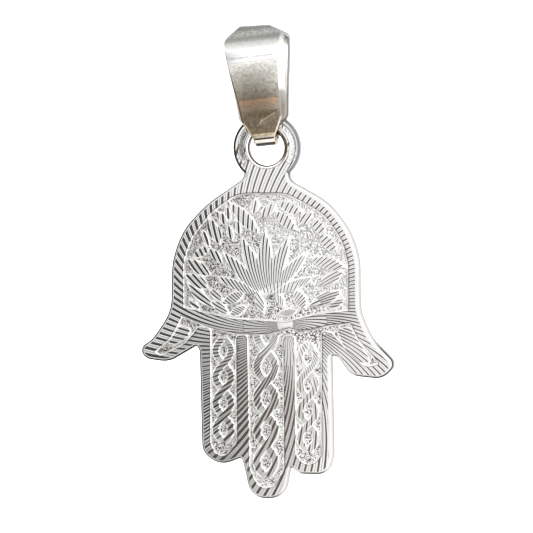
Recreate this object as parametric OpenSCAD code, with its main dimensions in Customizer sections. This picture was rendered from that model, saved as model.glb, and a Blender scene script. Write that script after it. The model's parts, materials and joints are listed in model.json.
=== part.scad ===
// Open-hand pendant on a strap bail, in millimetres.
// The origin is where a chain sits under the top of the bail. +Z is up, and the relief faces -Y.

/* [Hand] */
// Width of the hand across the two thumbs
hand_w = 25.6; // [20:0.1:32]
// Height from the middle of the eye down to the tip of the middle finger
hand_h = 35.1; // [28:0.1:42]
// Thickness of the casting from its back to the top of its border
plate_t = 1.1; // [1:0.05:1.1]
// Depth of the sunk ground below the top of the border
relief_depth = 0.35; // [0.15:0.05:0.6]

/* [Eye] */
// Outer radius of the eye ring
eye_r = 3.4; // [3.2:0.05:3.6]
// Radius of the hole in the eye ring
hole_r = 1.8; // [1.75:0.05:2]
// Inner radius of the stippled channel round the eye
channel_r = 2.3; // [2.2:0.05:2.5]
// Width of that channel
channel_w = 0.65; // [0.3:0.05:0.8]
// Depth of that channel
channel_depth = 0.2; // [0.1:0.05:0.3]
// Angle that the plain neck below the hole takes out of the channel
channel_gap = 110; // [60:5:150]

/* [Bail] */
// Distance from the chain's seat to the middle of the eye, along the bail
bail_drop = 11.55; // [11.5:0.05:11.6]
// Angle that the bail leans to the left of the hanging hand
bail_lean = 6; // [0:1:12]
// Outer radius of the arch at the top of the bail
arch_r = 3.2; // [3:0.1:3.6]
// Thickness of the strap over the top of the arch
arch_t = 0.7; // [0.6:0.05:0.9]
// Outer radius of the bend that passes through the eye
bend_r = 1.2; // [1.15:0.05:1.2]
// Height of the middle of that bend above the middle of the eye
bend_rise = 1.4; // [1.35:0.05:1.45]

/* [Hidden] */

// The tables of the hand give x to the right and z up from the middle of the eye, in millimetres on a
// drawing of this width and height, which hand_w and hand_h then stretch.
drawing_w = 25.3;
drawing_h = 35.1;
x_fit = hand_w / drawing_w;
z_fit = hand_h / drawing_h;

// Largest step of a rounded corner, in degrees
corner_step = 15;
// Straight pieces along each edge of a leaf
leaf_steps = 5;
// Depth by which a cutting shape stands out of the face that it cuts
clear = 0.5;

// Outline of the hand from the left of the neck, down its left side and up its right: x, z, corner radius
outline = [
    [-2.25, -1.7, 0],
    [-2.25, -3.05, 1.1],
    [-6.0, -5.6, 9],
    [-8.45, -8.2, 6],
    [-9.6, -11.4, 7],
    [-9.6, -16.4, 4.5],
    [-11.6, -19.3, 2.5],
    [-13.1, -20.2, 0.75],
    [-12.1, -21.2, 1.1],
    [-9.9, -21.5, 2.2],
    [-7.05, -19.8, 0.2],
    [-6.75, -20.4, 0.3],
    [-6.5, -30.5, 1.7],
    [-4.7, -31.9, 2.1],
    [-2.5, -31.0, 0.3],
    [-2.1, -32.6, 1.0],
    [-1.6, -35.1, 1.8],
    [1.8, -35.1, 1.8],
    [2.4, -31.9, 0.15],
    [3.4, -32.6, 0.8],
    [6.2, -32.65, 1.4],
    [6.7, -30.7, 1.4],
    [6.5, -20.7, 0.2],
    [7.2, -20.9, 0.5],
    [8.4, -22.75, 1.8],
    [11.5, -23.05, 1.5],
    [13.05, -21.6, 0.9],
    [10.5, -19.0, 4],
    [9.3, -16.3, 4.5],
    [9.3, -11.0, 6],
    [8.3, -8.2, 6],
    [6.2, -5.4, 6],
    [2.3, -3.25, 1.0],
    [2.3, -1.7, 0],
];

// Sunk ground under palm, thumbs and fingers, from its upper left corner down: x, z, corner radius
ground = [
    [-3.0, -4.5, 3.0],
    [-5.6, -6.35, 5.0],
    [-7.7, -8.95, 4.0],
    [-8.55, -11.45, 6.0],
    [-8.45, -16.45, 0.4],
    [-9.7, -18.95, 3.0],
    [-11.5, -20.5, 0.2],
    [-10.8, -21.1, 0.9],
    [-8.2, -19.75, 2.0],
    [-6.85, -18.05, 0.3],
    [-5.75, -18.15, 0.4],
    [-5.75, -29.65, 0.8],
    [-5.15, -30.95, 1.0],
    [-3.9, -30.95, 1.0],
    [-2.9, -29.45, 0.8],
    [-3.0, -18.9, 0.3],
    [-2.0, -18.8, 0.3],
    [-1.8, -32.05, 1.2],
    [-0.9, -34.15, 1.2],
    [0.7, -34.15, 1.2],
    [1.85, -32.25, 1.2],
    [1.75, -18.85, 0.4],
    [2.75, -18.85, 0.4],
    [2.85, -30.75, 0.5],
    [4.15, -32.45, 1.2],
    [5.6, -30.75, 0.5],
    [5.6, -18.4, 0.2],
    [6.5, -18.6, 0.2],
    [7.7, -19.95, 2.0],
    [9.8, -22.0, 1.2],
    [11.5, -21.65, 0.3],
    [9.2, -19.05, 3.0],
    [8.25, -17.05, 2.5],
    [8.25, -11.6, 5.0],
    [7.6, -9.1, 4.0],
    [5.75, -6.5, 3.5],
    [2.0, -4.45, 3.0],
];

// Raised band across the roots of the fingers, in two wedges that meet: x, z, corner radius
band = [
    [-8.9, -16.0, 0],
    [-6.3, -16.6, 3],
    [-3.3, -17.2, 3],
    [2.0, -17.5, 0.5],
    [3.2, -17.15, 0.5],
    [5.4, -16.65, 3],
    [8.6, -16.3, 0],
    [8.6, -17.4, 0],
    [6.2, -17.65, 3],
    [4.4, -18.1, 2],
    [3.2, -18.2, 0.5],
    [2.3, -17.95, 0.2],
    [0, -18.6, 3],
    [-2.8, -18.6, 3],
    [-5.6, -18.0, 3],
    [-8.6, -16.8, 0],
];

// Raised leaf in each thumb: x, z, corner radius
thumb_leaves = [
    [[-8.75, -17.9, 0.3], [-7.7, -18.1, 0.3], [-8.0, -19.0, 1.0], [-10.2, -20.1, 0.2]],
    [
        [7.1, -18.2, 0.2],
        [8.3, -17.9, 0.3],
        [9.4, -19.7, 2.0],
        [10.4, -21.4, 0.2],
        [9.3, -21.4, 0.8],
        [7.8, -19.9, 2.0],
    ],
];

// Small raised leaves round the palm, clockwise from the top: x and z of both ends, width
leaves = [
    [-1.15, -5.2, -1.3, -6.5, 0.75],
    [-0.7, -7.0, 0.95, -5.6, 0.8],
    [1.2, -5.5, 3.5, -6.6, 0.9],
    [0.95, -6.45, 2.85, -8.15, 1.0],
    [3.35, -7.7, 4.5, -6.4, 0.7],
    [4.7, -7.2, 5.75, -8.6, 0.9],
    [5.35, -8.7, 6.95, -10.35, 1.0],
    [4.5, -11.1, 7.8, -12.0, 1.1],
    [5.3, -13.7, 7.6, -12.4, 1.0],
    [4.45, -15.7, 7.4, -14.4, 1.0],
    [6.3, -15.9, 7.75, -15.2, 0.55],
    [2.9, -14.3, 3.8, -16.0, 1.1],
    [1.25, -16.6, 3.0, -16.3, 0.6],
    [1.0, -14.6, 1.7, -15.8, 0.6],
    [-1.05, -14.4, -0.35, -16.4, 0.8],
    [-4.4, -15.6, -2.3, -14.5, 0.9],
    [-3.6, -16.7, -2.1, -15.9, 0.7],
    [-5.75, -14.2, -4.45, -15.3, 0.5],
    [-5.5, -15.4, -3.9, -16.6, 0.7],
    [-7.85, -13.8, -5.5, -15.9, 0.8],
    [-8.15, -12.8, -5.95, -14.0, 1.1],
    [-7.9, -11.3, -5.8, -12.75, 1.0],
    [-7.35, -10.9, -5.8, -10.0, 0.7],
    [-5.65, -10.2, -4.55, -11.5, 0.7],
    [-6.5, -8.4, -5.9, -9.8, 0.65],
    [-5.85, -7.15, -4.7, -9.6, 1.1],
    [-4.95, -6.5, -3.9, -7.7, 0.65],
    [-3.85, -7.9, -3.45, -9.2, 0.6],
    [-3.15, -7.2, -2.75, -8.6, 0.6],
    [-4.15, -5.9, -3.65, -7.2, 0.55],
    [-3.6, -5.65, -0.95, -8.45, 1.15],
    [-7.75, -15.2, -6.85, -16.2, 0.5],
];

// Petals of the palmette in the palm, from left to right: foot x and z, tip x and z, width
petals = [
    [-0.95, -14.6, -4.95, -13.0, 0.85],
    [-0.65, -14.5, -4.25, -10.6, 1.1],
    [-0.4, -14.5, -2.45, -9.1, 1.25],
    [-0.15, -14.6, -0.15, -8.5, 1.4],
    [0.1, -14.5, 2.15, -9.1, 1.25],
    [0.35, -14.5, 3.95, -10.6, 1.1],
    [0.65, -14.6, 4.65, -13.0, 0.85],
];

// Twisted chain in each finger: x, z of the first hole, pitch, number of loops, width, width of a strand
chains = [
    [-4.35, -20.35, 2.62, 4, 2.2, 0.56],
    [-0.05, -18.75, 3.17, 5, 2.6, 0.66],
    [4.15, -20.95, 2.7, 4, 2.2, 0.56],
];
// Overlap of one loop on the next, and length of a loop's hole, as parts of the pitch
loop_overlap = 0.15;
loop_hole = 0.62;
// Height at which the chains begin, under the band
chain_top = -18.9;

// Half widths of the bail: height from the chain's seat, at the outer face, at the inner edges
bail_widths = [
    [-11.4, 1.1, 1.2],
    [-10.3, 1.12, 1.2],
    [-8.9, 2.0, 2.42],
    [-7.05, 2.15, 2.58],
    [-4.3, 2.5, 2.84],
    [-0.9, 2.88, 3.08],
    [-0.1, 2.6, 3.02],
    [0.7, 1.6, 2.1],
];
face_half = [for (row = bail_widths) [row[0], row[1]]];
edge_half = [for (row = bail_widths) [row[0], row[2]]];
// Thickness of the strap against the same height
strap_t = [[-10.2, 0.6], [-9.7, 0.6], [-8.1, 0.9], [-6.0, 1.3], [-2.5, 1.3], [0.7, arch_t]];

// Steps round the arch, along each leg and round the bend
arch_steps = 20;
leg_steps = 8;
bend_steps = 12;

eye_x = bail_drop * sin(bail_lean);
eye_z = -bail_drop * cos(bail_lean);

function unit(v) = v / norm(v);
function at(row) = [row[0], row[1]];
function half_turn(angle) = angle > 180 ? angle - 360 : angle < -180 ? angle + 360 : angle;

// One corner of an outline, as a point or as an arc of the row's radius
function corner(before, here, after) =
    let (
        point = at(here),
        radius = here[2],
        back = unit(at(before) - point),
        on = unit(at(after) - point),
        half = acos(back * on) / 2
    )
    radius == 0 ? [point] :
    let (
        middle = point + unit(back + on) * radius / sin(half),
        first = point + back * radius / tan(half) - middle,
        last = point + on * radius / tan(half) - middle,
        start = atan2(first[1], first[0]),
        sweep = half_turn(atan2(last[1], last[0]) - start),
        steps = max(2, ceil(abs(sweep) / corner_step))
    )
    [for (i = [0 : steps])
        let (angle = start + sweep * i / steps)
        middle + radius * [cos(angle), sin(angle)]];

function rounded(rows) =
    let (count = len(rows))
    [for (i = [0 : count - 1])
        each corner(rows[(i + count - 1) % count], rows[i], rows[(i + 1) % count])];

// A leaf between two ends, bounded by two arcs
function leaf(x1, z1, x2, z2, width) =
    let (
        from = [x1, z1],
        along = unit([x2, z2] - from),
        across = [-along[1], along[0]],
        half_length = norm([x2, z2] - from) / 2,
        radius = (half_length * half_length + width * width / 4) / width,
        reach = asin(half_length / radius),
        middle = from + along * half_length
    )
    [for (side = [1, -1], i = [0 : leaf_steps - 1])
        let (turn = (2 * i / leaf_steps - 1) * reach)
        middle + side * (along * radius * sin(turn) + across * (radius * (cos(turn) - 1) + width / 2))];

// The drawing's shape at the size of the hand
module drawn(points) {
    polygon([for (p = points) [p[0] * x_fit, p[1] * z_fit]]);
}

// Extrudes a drawing of the front between two heights above the middle of the plate
module raise(low, high) {
    translate([0, -low, 0])
        rotate([90, 0, 0])
            linear_extrude(high - low)
                children();
}

module chain(x, z, pitch, count, width, strand) {
    lap = pitch * loop_overlap;
    hole = pitch * loop_hole / 2;
    for (i = [0 : count - 1]) {
        middle = z - i * pitch;
        difference() {
            drawn(leaf(x, middle + pitch / 2 + lap, x, middle - pitch / 2 - lap, width));
            drawn(leaf(x, middle + hole, x, middle - hole, width - 2 * strand));
        }
    }
}

// Everything that stands up from the sunk ground
module islands() {
    drawn(rounded(band));
    for (rows = thumb_leaves)
        drawn(rounded(rows));
    for (row = concat(leaves, petals))
        drawn(leaf(row[0], row[1], row[2], row[3], row[4]));
    intersection() {
        for (row = chains)
            chain(row[0], row[1], row[2], row[3], row[4], row[5]);
        translate([-hand_w / 2, -hand_h])
            square([hand_w, hand_h + chain_top * z_fit]);
    }
}

// Stippled channel round the eye, open above the neck
module eye_channel() {
    difference() {
        circle(channel_r + channel_w, $fn = 96);
        circle(channel_r, $fn = 96);
        polygon([
            [0, 0],
            2 * eye_r * [-sin(channel_gap / 2), -cos(channel_gap / 2)],
            2 * eye_r * [sin(channel_gap / 2), -cos(channel_gap / 2)],
        ]);
    }
}

module hand() {
    top = plate_t / 2;
    color("silver")
        translate([eye_x, 0, eye_z])
            difference() {
                union() {
                    raise(-top, top)
                        drawn(rounded(outline));
                    raise(-top, top)
                        circle(eye_r, $fn = 96);
                }
                raise(top - relief_depth, top + clear)
                    difference() {
                        drawn(rounded(ground));
                        islands();
                    }
                raise(top - channel_depth, top + clear)
                    eye_channel();
                raise(-top - clear, top + clear)
                    circle(hole_r, $fn = 96);
            }
}

// Side of the bail: y and z of the outer face, then the outward direction, once round the loop
bend_z = bend_rise - bail_drop;
arch_z = arch_t - arch_r;
leg_angle = asin((arch_r - bend_r) / (arch_z - bend_z));
function on_circle(z, radius, angle) =
    [radius * cos(angle), z + radius * sin(angle), cos(angle), sin(angle)];
function leg(angle, part) =
    let (
        low = on_circle(bend_z, bend_r, angle),
        high = on_circle(arch_z, arch_r, angle)
    )
    low + (high - low) * part;
loop = concat(
    [for (i = [0 : arch_steps])
        on_circle(arch_z, arch_r, -leg_angle + (180 + 2 * leg_angle) * i / arch_steps)],
    [for (i = [1 : leg_steps - 1]) leg(180 + leg_angle, 1 - i / leg_steps)],
    [for (i = [0 : bend_steps])
        on_circle(bend_z, bend_r, 180 + leg_angle + (180 - 2 * leg_angle) * i / bend_steps)],
    [for (i = [1 : leg_steps - 1]) leg(-leg_angle, i / leg_steps)]
);

// Four corners of the strap's section at one place on that side
function section(place) =
    let (
        z = place[1],
        t = lookup(z, strap_t),
        face = lookup(z, face_half),
        edge = lookup(z, edge_half),
        y_in = place[0] - t * place[2],
        z_in = place[1] - t * place[3]
    )
    [[-face, place[0], z], [face, place[0], z], [edge, y_in, z_in], [-edge, y_in, z_in]];

module bail() {
    count = len(loop);
    color("gainsboro")
        rotate([0, -bail_lean, 0])
            polyhedron(
                points = [for (place = loop) each section(place)],
                faces = [for (i = [0 : count - 1], k = [0 : 3])
                    let (here = 4 * i, next = 4 * ((i + 1) % count), after = (k + 1) % 4)
                    [here + k, here + after, next + after, next + k]]
            );
}

hand();
bail();
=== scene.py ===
# %% [markdown]
# # A cast silver hand on a strap bail
#
# The pendant is two pieces of silver: a thin casting in the form of an open hand, and a bent strap that
# carries it. The casting's front is worked in low relief. A border, a crossband, leaves, petals and
# twisted chains stand up from a ground that was struck with a fine punch, and every raised top is cut
# with furrows that fan out from one point.
#
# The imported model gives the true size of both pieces. This lesson reads the drawing of the relief off
# that model, rebuilds it with sloped sides, a struck ground and furrows, and then finishes and lights the
# silver.

# %% Load the frame
import json
import math
import random

import bmesh
import bpy
from mathutils import Matrix, Vector


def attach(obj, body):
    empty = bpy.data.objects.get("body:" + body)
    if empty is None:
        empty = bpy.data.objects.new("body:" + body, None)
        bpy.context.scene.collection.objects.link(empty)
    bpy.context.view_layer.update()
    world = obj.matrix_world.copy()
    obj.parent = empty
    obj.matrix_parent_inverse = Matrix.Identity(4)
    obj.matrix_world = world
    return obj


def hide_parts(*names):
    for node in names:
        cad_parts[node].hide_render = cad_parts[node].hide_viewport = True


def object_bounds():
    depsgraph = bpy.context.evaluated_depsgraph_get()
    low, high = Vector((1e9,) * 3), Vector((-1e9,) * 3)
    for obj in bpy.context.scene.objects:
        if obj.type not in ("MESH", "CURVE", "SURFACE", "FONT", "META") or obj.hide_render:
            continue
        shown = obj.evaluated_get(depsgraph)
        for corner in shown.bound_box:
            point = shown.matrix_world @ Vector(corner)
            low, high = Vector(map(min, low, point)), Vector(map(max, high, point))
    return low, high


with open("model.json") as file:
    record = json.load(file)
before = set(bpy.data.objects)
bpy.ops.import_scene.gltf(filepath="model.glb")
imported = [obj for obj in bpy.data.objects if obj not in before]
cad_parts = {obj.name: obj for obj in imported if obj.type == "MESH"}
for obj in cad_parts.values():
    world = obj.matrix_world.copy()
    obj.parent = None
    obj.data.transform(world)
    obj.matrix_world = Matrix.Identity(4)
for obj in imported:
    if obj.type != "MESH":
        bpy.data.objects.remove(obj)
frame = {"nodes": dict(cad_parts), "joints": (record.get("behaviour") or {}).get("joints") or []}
cad_low, cad_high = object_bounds()
eye = Vector(frame["joints"][0]["pos_m"])
per_mm = 0.001
print("the model is", [round(side / per_mm, 1) for side in cad_high - cad_low], "mm")

# %% [markdown]
# ## Camera
#
# The camera comes first, because it decides how small a detail can be and still show. A long lens from
# half a metre away keeps the outline free of perspective. It stands a little to the right of the pendant,
# so that the right flank of the bail and the edge of the casting show.

# %% Camera
camera_turn = math.radians(10.5)
camera_rise = math.radians(1.0)
camera_distance = 0.5
framed_width = 0.0533
aim = eye + Vector((0, -0.5, -11.88)) * per_mm

camera = bpy.data.objects.new("camera", bpy.data.cameras.new("camera"))
bpy.context.scene.collection.objects.link(camera)
bpy.context.scene.camera = camera
away = Vector((
    math.sin(camera_turn) * math.cos(camera_rise),
    -math.cos(camera_turn) * math.cos(camera_rise),
    math.sin(camera_rise),
))
camera.location = aim + away * camera_distance
camera.rotation_euler = (-away).to_track_quat("-Z", "Y").to_euler()
camera.data.sensor_width = 36
camera.data.lens = camera.data.sensor_width * camera_distance / framed_width
camera.data.clip_start = 0.01
camera.data.clip_end = 10
print("lens", round(camera.data.lens), "mm")

# %% [markdown]
# ## Helpers
#
# All modelling is done in millimetres from the middle of the eye. A piece moves to its place in metres at
# the end. Solids are joined and cut with the Boolean modifier, whose Manifold solver is fast and gives a
# closed mesh. With its materials set to Transfer, each face of the result keeps the finish of the solid
# that made it.

# %% Helpers for materials and objects
finishes = {}


def finish(name):
    """The material of that name, made empty the first time."""
    if name not in finishes:
        finishes[name] = bpy.data.materials.new(name)
        finishes[name].use_nodes = True
    return finishes[name]


def numbered(*finish_names):
    """The number of each finish on a piece that gets them in this order."""
    return {finish_name: number for number, finish_name in enumerate(finish_names)}


def solid(name, bm, *finish_names):
    """An object made of a bmesh, in the finishes that its faces point to by their number."""
    bmesh.ops.recalc_face_normals(bm, faces=bm.faces)
    mesh = bpy.data.meshes.new(name)
    bm.to_mesh(mesh)
    bm.free()
    for finish_name in finish_names:
        mesh.materials.append(finish(finish_name))
    piece = bpy.data.objects.new(name, mesh)
    bpy.context.scene.collection.objects.link(piece)
    return piece


def combine(target, operation, *tools):
    """Joins tools to target, cuts them out of it, or keeps what they share, and removes them."""
    for tool in tools:
        step = target.modifiers.new("combine", "BOOLEAN")
        step.operation = operation
        step.solver = "MANIFOLD"
        step.material_mode = "TRANSFER"
        step.object = tool
        bpy.context.view_layer.update()
        shown = target.evaluated_get(bpy.context.evaluated_depsgraph_get())
        mesh = bpy.data.meshes.new_from_object(shown)
        target.modifiers.clear()
        target.data = mesh
        bpy.data.objects.remove(tool)


# %% [markdown]
# ## Read the drawing off the model
#
# The front of the CAD hand holds every outline of the relief, all in one plane. A copy of it is merged,
# because it comes as loose triangles, and only the faces of that plane are kept. They fall into separate
# parts: the border with the crossband, each leaf, the petals and each chain. An operator fills the rim of
# every part with a face, and the corners of each face give an outline.

# %% Outlines from the CAD hand
weld = 0.0005
same_plane = 0.01
facing_front = -0.99


def copy_of(node):
    """The merged mesh of a CAD node, in millimetres from the middle of the eye."""
    bm = bmesh.new()
    bm.from_mesh(frame["nodes"][node].data)
    bmesh.ops.translate(bm, vec=-eye, verts=bm.verts)
    bmesh.ops.scale(bm, vec=Vector((1, 1, 1)) / per_mm, verts=bm.verts)
    bmesh.ops.remove_doubles(bm, verts=bm.verts, dist=weld)
    return bm


def connected(faces):
    """Faces sorted into groups that share edges, in the same order each time."""
    reached = set()
    groups = []
    for first in faces:
        if first in reached:
            continue
        reached.add(first)
        group = [first]
        for face in group:
            for other in (other for edge in face.edges for other in edge.link_faces):
                if other not in reached:
                    reached.add(other)
                    group.append(other)
        groups.append(group)
    return groups


hand_copy = copy_of("hand")
back_y = max(vert.co.y for vert in hand_copy.verts)
forward_faces = [face for face in hand_copy.faces if face.normal.y < facing_front]
levels = sorted({round(face.calc_center_median().y, 3) for face in forward_faces})
front_y, channel_y, ground_y = levels
behind = [face for face in hand_copy.faces if max(vert.co.y for vert in face.verts) > front_y + same_plane]
bmesh.ops.delete(hand_copy, geom=behind, context="FACES")

parts = []
for group in connected(hand_copy.faces):
    rim = [edge for face in group for edge in face.edges if edge.is_boundary]
    filled = bmesh.ops.edgeloop_fill(hand_copy, edges=rim)["faces"]
    filled.sort(key=lambda face: -face.calc_area())
    parts.append([[(vert.co.x, vert.co.z) for vert in face.verts] for face in filled])
    bmesh.ops.delete(hand_copy, geom=filled, context="FACES_ONLY")
hand_copy.free()

parts.sort(key=lambda loops: -len(loops[0]))
outline, palm_ground, finger_ground, hole, channel = parts[0]
chains = [loops for loops in parts[1:] if len(loops) > 1]
leaves = [loops[0] for loops in parts[1:] if len(loops) == 1]
print("front, channel and ground lie at", levels, "mm")
print("the drawing has", len(chains), "chains and", len(leaves), "other raised shapes")

# %% [markdown]
# The CAD keeps its arcs coarse to stay light. Cutting every blunt corner of an outline a quarter of the
# way along its edges, twice, gives a smooth curve, and leaves the sharp tips alone.

# %% Round the outlines
blunt = math.radians(45)
corner_cut = 0.25


def cut_corners(loop):
    """The loop with each of its blunt corners replaced by two blunter ones."""
    rounder = []
    for before, here, after in zip(loop[-1:] + loop[:-1], loop, loop[1:] + loop[:1]):
        first, middle, last = Vector(before), Vector(here), Vector(after)
        if (middle - first).angle(last - middle) > blunt:
            rounder.append(here)
        else:
            rounder.append(tuple(middle.lerp(first, corner_cut)))
            rounder.append(tuple(middle.lerp(last, corner_cut)))
    return rounder


def smooth(loop):
    """The loop as a smooth curve."""
    return cut_corners(cut_corners(loop))


# %% [markdown]
# ## Solids with sloped sides
#
# Cast relief has no upright walls: the sides slope, so that the wax leaves its mould, and polishing
# rounds their upper edges. An inset that also moves the face along its normal gives one step of such a
# side. A few steps in a row give the whole profile, and a face over the rim closes the solid.

# %% Profiles and stamps
def flat_face(bm, loop, y, towards):
    """A face with that outline at a height, which looks forwards for -1 and backwards for 1."""
    face = bm.faces.new([bm.verts.new((x, y, z)) for x, z in loop])
    bm.normal_update()
    if face.normal.y * towards < 0:
        face.normal_flip()
    return face


def grow(bm, face, steps, side_finish=0):
    """Moves a face along its normal by each step's rise, and inwards by its run."""
    for run, rise in steps:
        sides = bmesh.ops.inset_region(
            bm, faces=[face], thickness=run, depth=rise, use_even_offset=True, use_boundary=True
        )
        for side in sides["faces"]:
            side.material_index = side_finish


def close(bm):
    """Fills the open rims of a bmesh and returns the new faces."""
    open_edges = [edge for edge in bm.edges if edge.is_boundary]
    filled = bmesh.ops.edgeloop_fill(bm, edges=open_edges)["faces"]
    bmesh.ops.recalc_face_normals(bm, faces=bm.faces)
    return filled


# Each step of a side is a run inwards and a rise, in mm
slope = [(0.03, 0.02), (0.05, 0.06), (0.07, 0.12), (0.08, 0.17)]
rim_line = (0.06, 0.03)
below_ground = 0.12
proud = 0.5


def island(loop):
    """A raised shape whose top has the outline, and whose sides slope outwards down into the ground."""
    bm = bmesh.new()
    face = flat_face(bm, loop, front_y, 1)
    grow(bm, face, [(-run, rise) for run, rise in slope] + [(0, below_ground)])
    close(bm)[0].material_index = 1
    return solid("island", bm, "relief edge", "hand top")


def pit(loop, depth):
    """A cutter with the outline, whose sides start with a fine line and slope down past a depth."""
    bm = bmesh.new()
    face = flat_face(bm, loop, front_y, 1)
    share = (depth - rim_line[1]) / sum(rise for run, rise in slope)
    grow(bm, face, [rim_line], side_finish=1)
    grow(bm, face, [(run * share, rise * share) for run, rise in slope] + [(0, below_ground)])
    rim = close(bm)[0]
    grow(bm, rim, [(0, proud)])
    return solid("pit", bm, "relief edge", "rim line")


# %% [markdown]
# ## The plate
#
# The body of the casting is one flat plate with the outline of the hand and of the eye ring. Its rims are
# rounded in insets, forwards and backwards. The outer ones are tarnished and hold painted shade as well,
# and the inner one is polished.
# Hundreds of cuts will cross the front, and one face with so many dents in its rim is hard to fill, so
# planes first divide it into squares. The eye ring is worn rounder than the rest, so a ring with a
# three-sided section, made with Spin, cuts a chamfer round it.

# %% Plate
rim_steps = [(0.05, 0.06), (0.10, 0.05)]
polished_step = (0.05, 0.02)
rim_height = sum(rise for run, rise in rim_steps)
cell = 1.0

plate_finishes = numbered("hand top", "hand side", "relief edge", "hand back", "hand rim")
plate_bm = bmesh.new()
front_face = flat_face(plate_bm, smooth(outline), front_y + rim_height + polished_step[1], -1)
grow(plate_bm, front_face, rim_steps, side_finish=plate_finishes["hand rim"])
grow(plate_bm, front_face, [polished_step], side_finish=plate_finishes["relief edge"])
back_face = close(plate_bm)[0]
wall_height = back_y - front_y - 2 * (rim_height + polished_step[1])
back_steps = [(0, wall_height)] + rim_steps + [polished_step]
grow(plate_bm, back_face, back_steps, side_finish=plate_finishes["hand side"])
back_face.material_index = plate_finishes["hand back"]
for across, low, high in (
    (Vector((1, 0, 0)), cad_low.x - eye.x, cad_high.x - eye.x),
    (Vector((0, 0, 1)), cad_low.z - eye.z, cad_high.z - eye.z),
):
    for i in range(math.floor(low / per_mm / cell), math.ceil(high / per_mm / cell)):
        front_faces = [face for face in plate_bm.faces if face.material_index == plate_finishes["hand top"]]
        front_parts = dict.fromkeys(part for face in front_faces for part in (*face.edges, *face.verts))
        bmesh.ops.bisect_plane(
            plate_bm,
            geom=[*front_faces, *front_parts],
            plane_co=across * cell * (i + 0.5),
            plane_no=across,
        )
plate = solid("plate", plate_bm, *plate_finishes)

# %% Chamfer of the eye ring
ring_r = max(z for x, z in outline)
chamfer_run, chamfer_drop = 0.25, 0.18
chamfer_end = math.radians(140)
overshoot = 2
clear_of_front = 1
round_steps = 96

chamfer_bm = bmesh.new()
corner = chamfer_bm.faces.new([
    chamfer_bm.verts.new((0, front_y + chamfer_drop * across, ring_r + chamfer_run * (across - 1)))
    for across in (0, overshoot)
] + [chamfer_bm.verts.new((0, front_y - clear_of_front, ring_r + chamfer_run))])
bmesh.ops.rotate(chamfer_bm, verts=corner.verts[:], matrix=Matrix.Rotation(-chamfer_end, 3, "Y"))
bmesh.ops.spin(
    chamfer_bm,
    geom=[corner],
    axis=(0, 1, 0),
    cent=(0, 0, 0),
    dvec=(0, 0, 0),
    angle=2 * chamfer_end,
    steps=round_steps,
)
bmesh.ops.holes_fill(chamfer_bm, edges=chamfer_bm.edges)
combine(plate, "DIFFERENCE", solid("chamfer", chamfer_bm, "ring rim"))
print("plate", len(plate.data.polygons), "faces")

# %% [markdown]
# ## The struck ground
#
# The ground between the raised shapes was struck with a fine punch, and it is a field of tiny pits. A
# grid with its corners moved at random makes such a field. The grid is the end of a block, and what the
# block shares with the pit's sloped solid is a cutter that leaves sloped sides and a struck floor behind.
# The random moves are seeded, so the same floor comes out each time.

# %% Ground cutters
chance = random.Random(11)
punch_pitch = 0.125
punch_shift = 0.045
punch_depth = 0.035
punch_margin = 0.5
upright = Matrix.Rotation(math.pi / 2, 4, "X")


def punch_block(loop, y):
    """A block over the outline whose inner end is struck at that height."""
    xs = [x for x, z in loop]
    zs = [z for x, z in loop]
    middle = Vector(((min(xs) + max(xs)) / 2, y, (min(zs) + max(zs)) / 2))
    half_x = (max(xs) - min(xs)) / 2 + punch_margin
    half_z = (max(zs) - min(zs)) / 2 + punch_margin
    stretch = Matrix.Diagonal((half_x, 1, half_z, 1))
    bm = bmesh.new()
    bmesh.ops.create_grid(
        bm,
        x_segments=round(2 * half_x / punch_pitch),
        y_segments=round(2 * half_z / punch_pitch),
        size=1,
        matrix=Matrix.Translation(middle) @ stretch @ upright,
    )
    for vert in bm.verts:
        vert.co += Vector((
            chance.uniform(-punch_shift, punch_shift),
            chance.uniform(-punch_depth, punch_depth),
            chance.uniform(-punch_shift, punch_shift),
        ))
    rim = [edge for edge in bm.edges if edge.is_boundary]
    for item in bmesh.ops.extrude_edge_only(bm, edges=rim)["geom"]:
        if isinstance(item, bmesh.types.BMVert):
            item.co.y = front_y - 2 * proud
    close(bm)
    return solid("punch block", bm, "ground")


for loop, floor_y in ((palm_ground, ground_y), (finger_ground, ground_y), (channel, channel_y)):
    cutter = pit(smooth(loop), floor_y - front_y)
    combine(cutter, "INTERSECT", punch_block(loop, floor_y))
    combine(plate, "DIFFERENCE", cutter)
print("plate with its ground", len(plate.data.polygons), "faces")

# %% [markdown]
# ## Leaves, petals and thumb leaves
#
# Every plain raised shape is an island with the outline from the drawing.

# %% Islands
islands = [island(smooth(loop)) for loop in leaves]
combine(plate, "UNION", *islands)
print("plate with its leaves", len(plate.data.polygons), "faces")

# %% [markdown]
# ## Twisted chains
#
# Each finger holds a chain of two strands that cross and twist: a strand passes over the other at one
# crossing and under it at the next. The holes in the drawing give the pitch, the width and the width of a
# strand. A strand is a small cross-section that is extruded step by step along a sine wave, and dips
# where it passes under. A chain that goes on above its first crossing starts half a loop higher.

# %% Chains
steps_per_loop = 16
strand_dip = 0.15
dip_sharpness = 6
tip_gap = 0.04
half_step = 0.01


def sweep(bm, section, count):
    """A bar through cross-sections, whose side between the two middle corners has the second finish."""
    end = bm.faces.new([bm.verts.new(place) for place in section(0)])
    for i in range(1, count):
        moved = bmesh.ops.extrude_face_region(bm, geom=[end])["geom"]
        if i > 1:
            bmesh.ops.delete(bm, geom=[end], context="FACES_ONLY")
        end = next(item for item in moved if isinstance(item, bmesh.types.BMFace))
        for vert, place in zip(end.verts, section(i)):
            vert.co = place
        for face in end.loops[len(end.verts) // 2 - 1].edge.link_faces:
            face.material_index = int(face is not end)
    bmesh.ops.recalc_face_normals(bm, faces=bm.faces)


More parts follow.
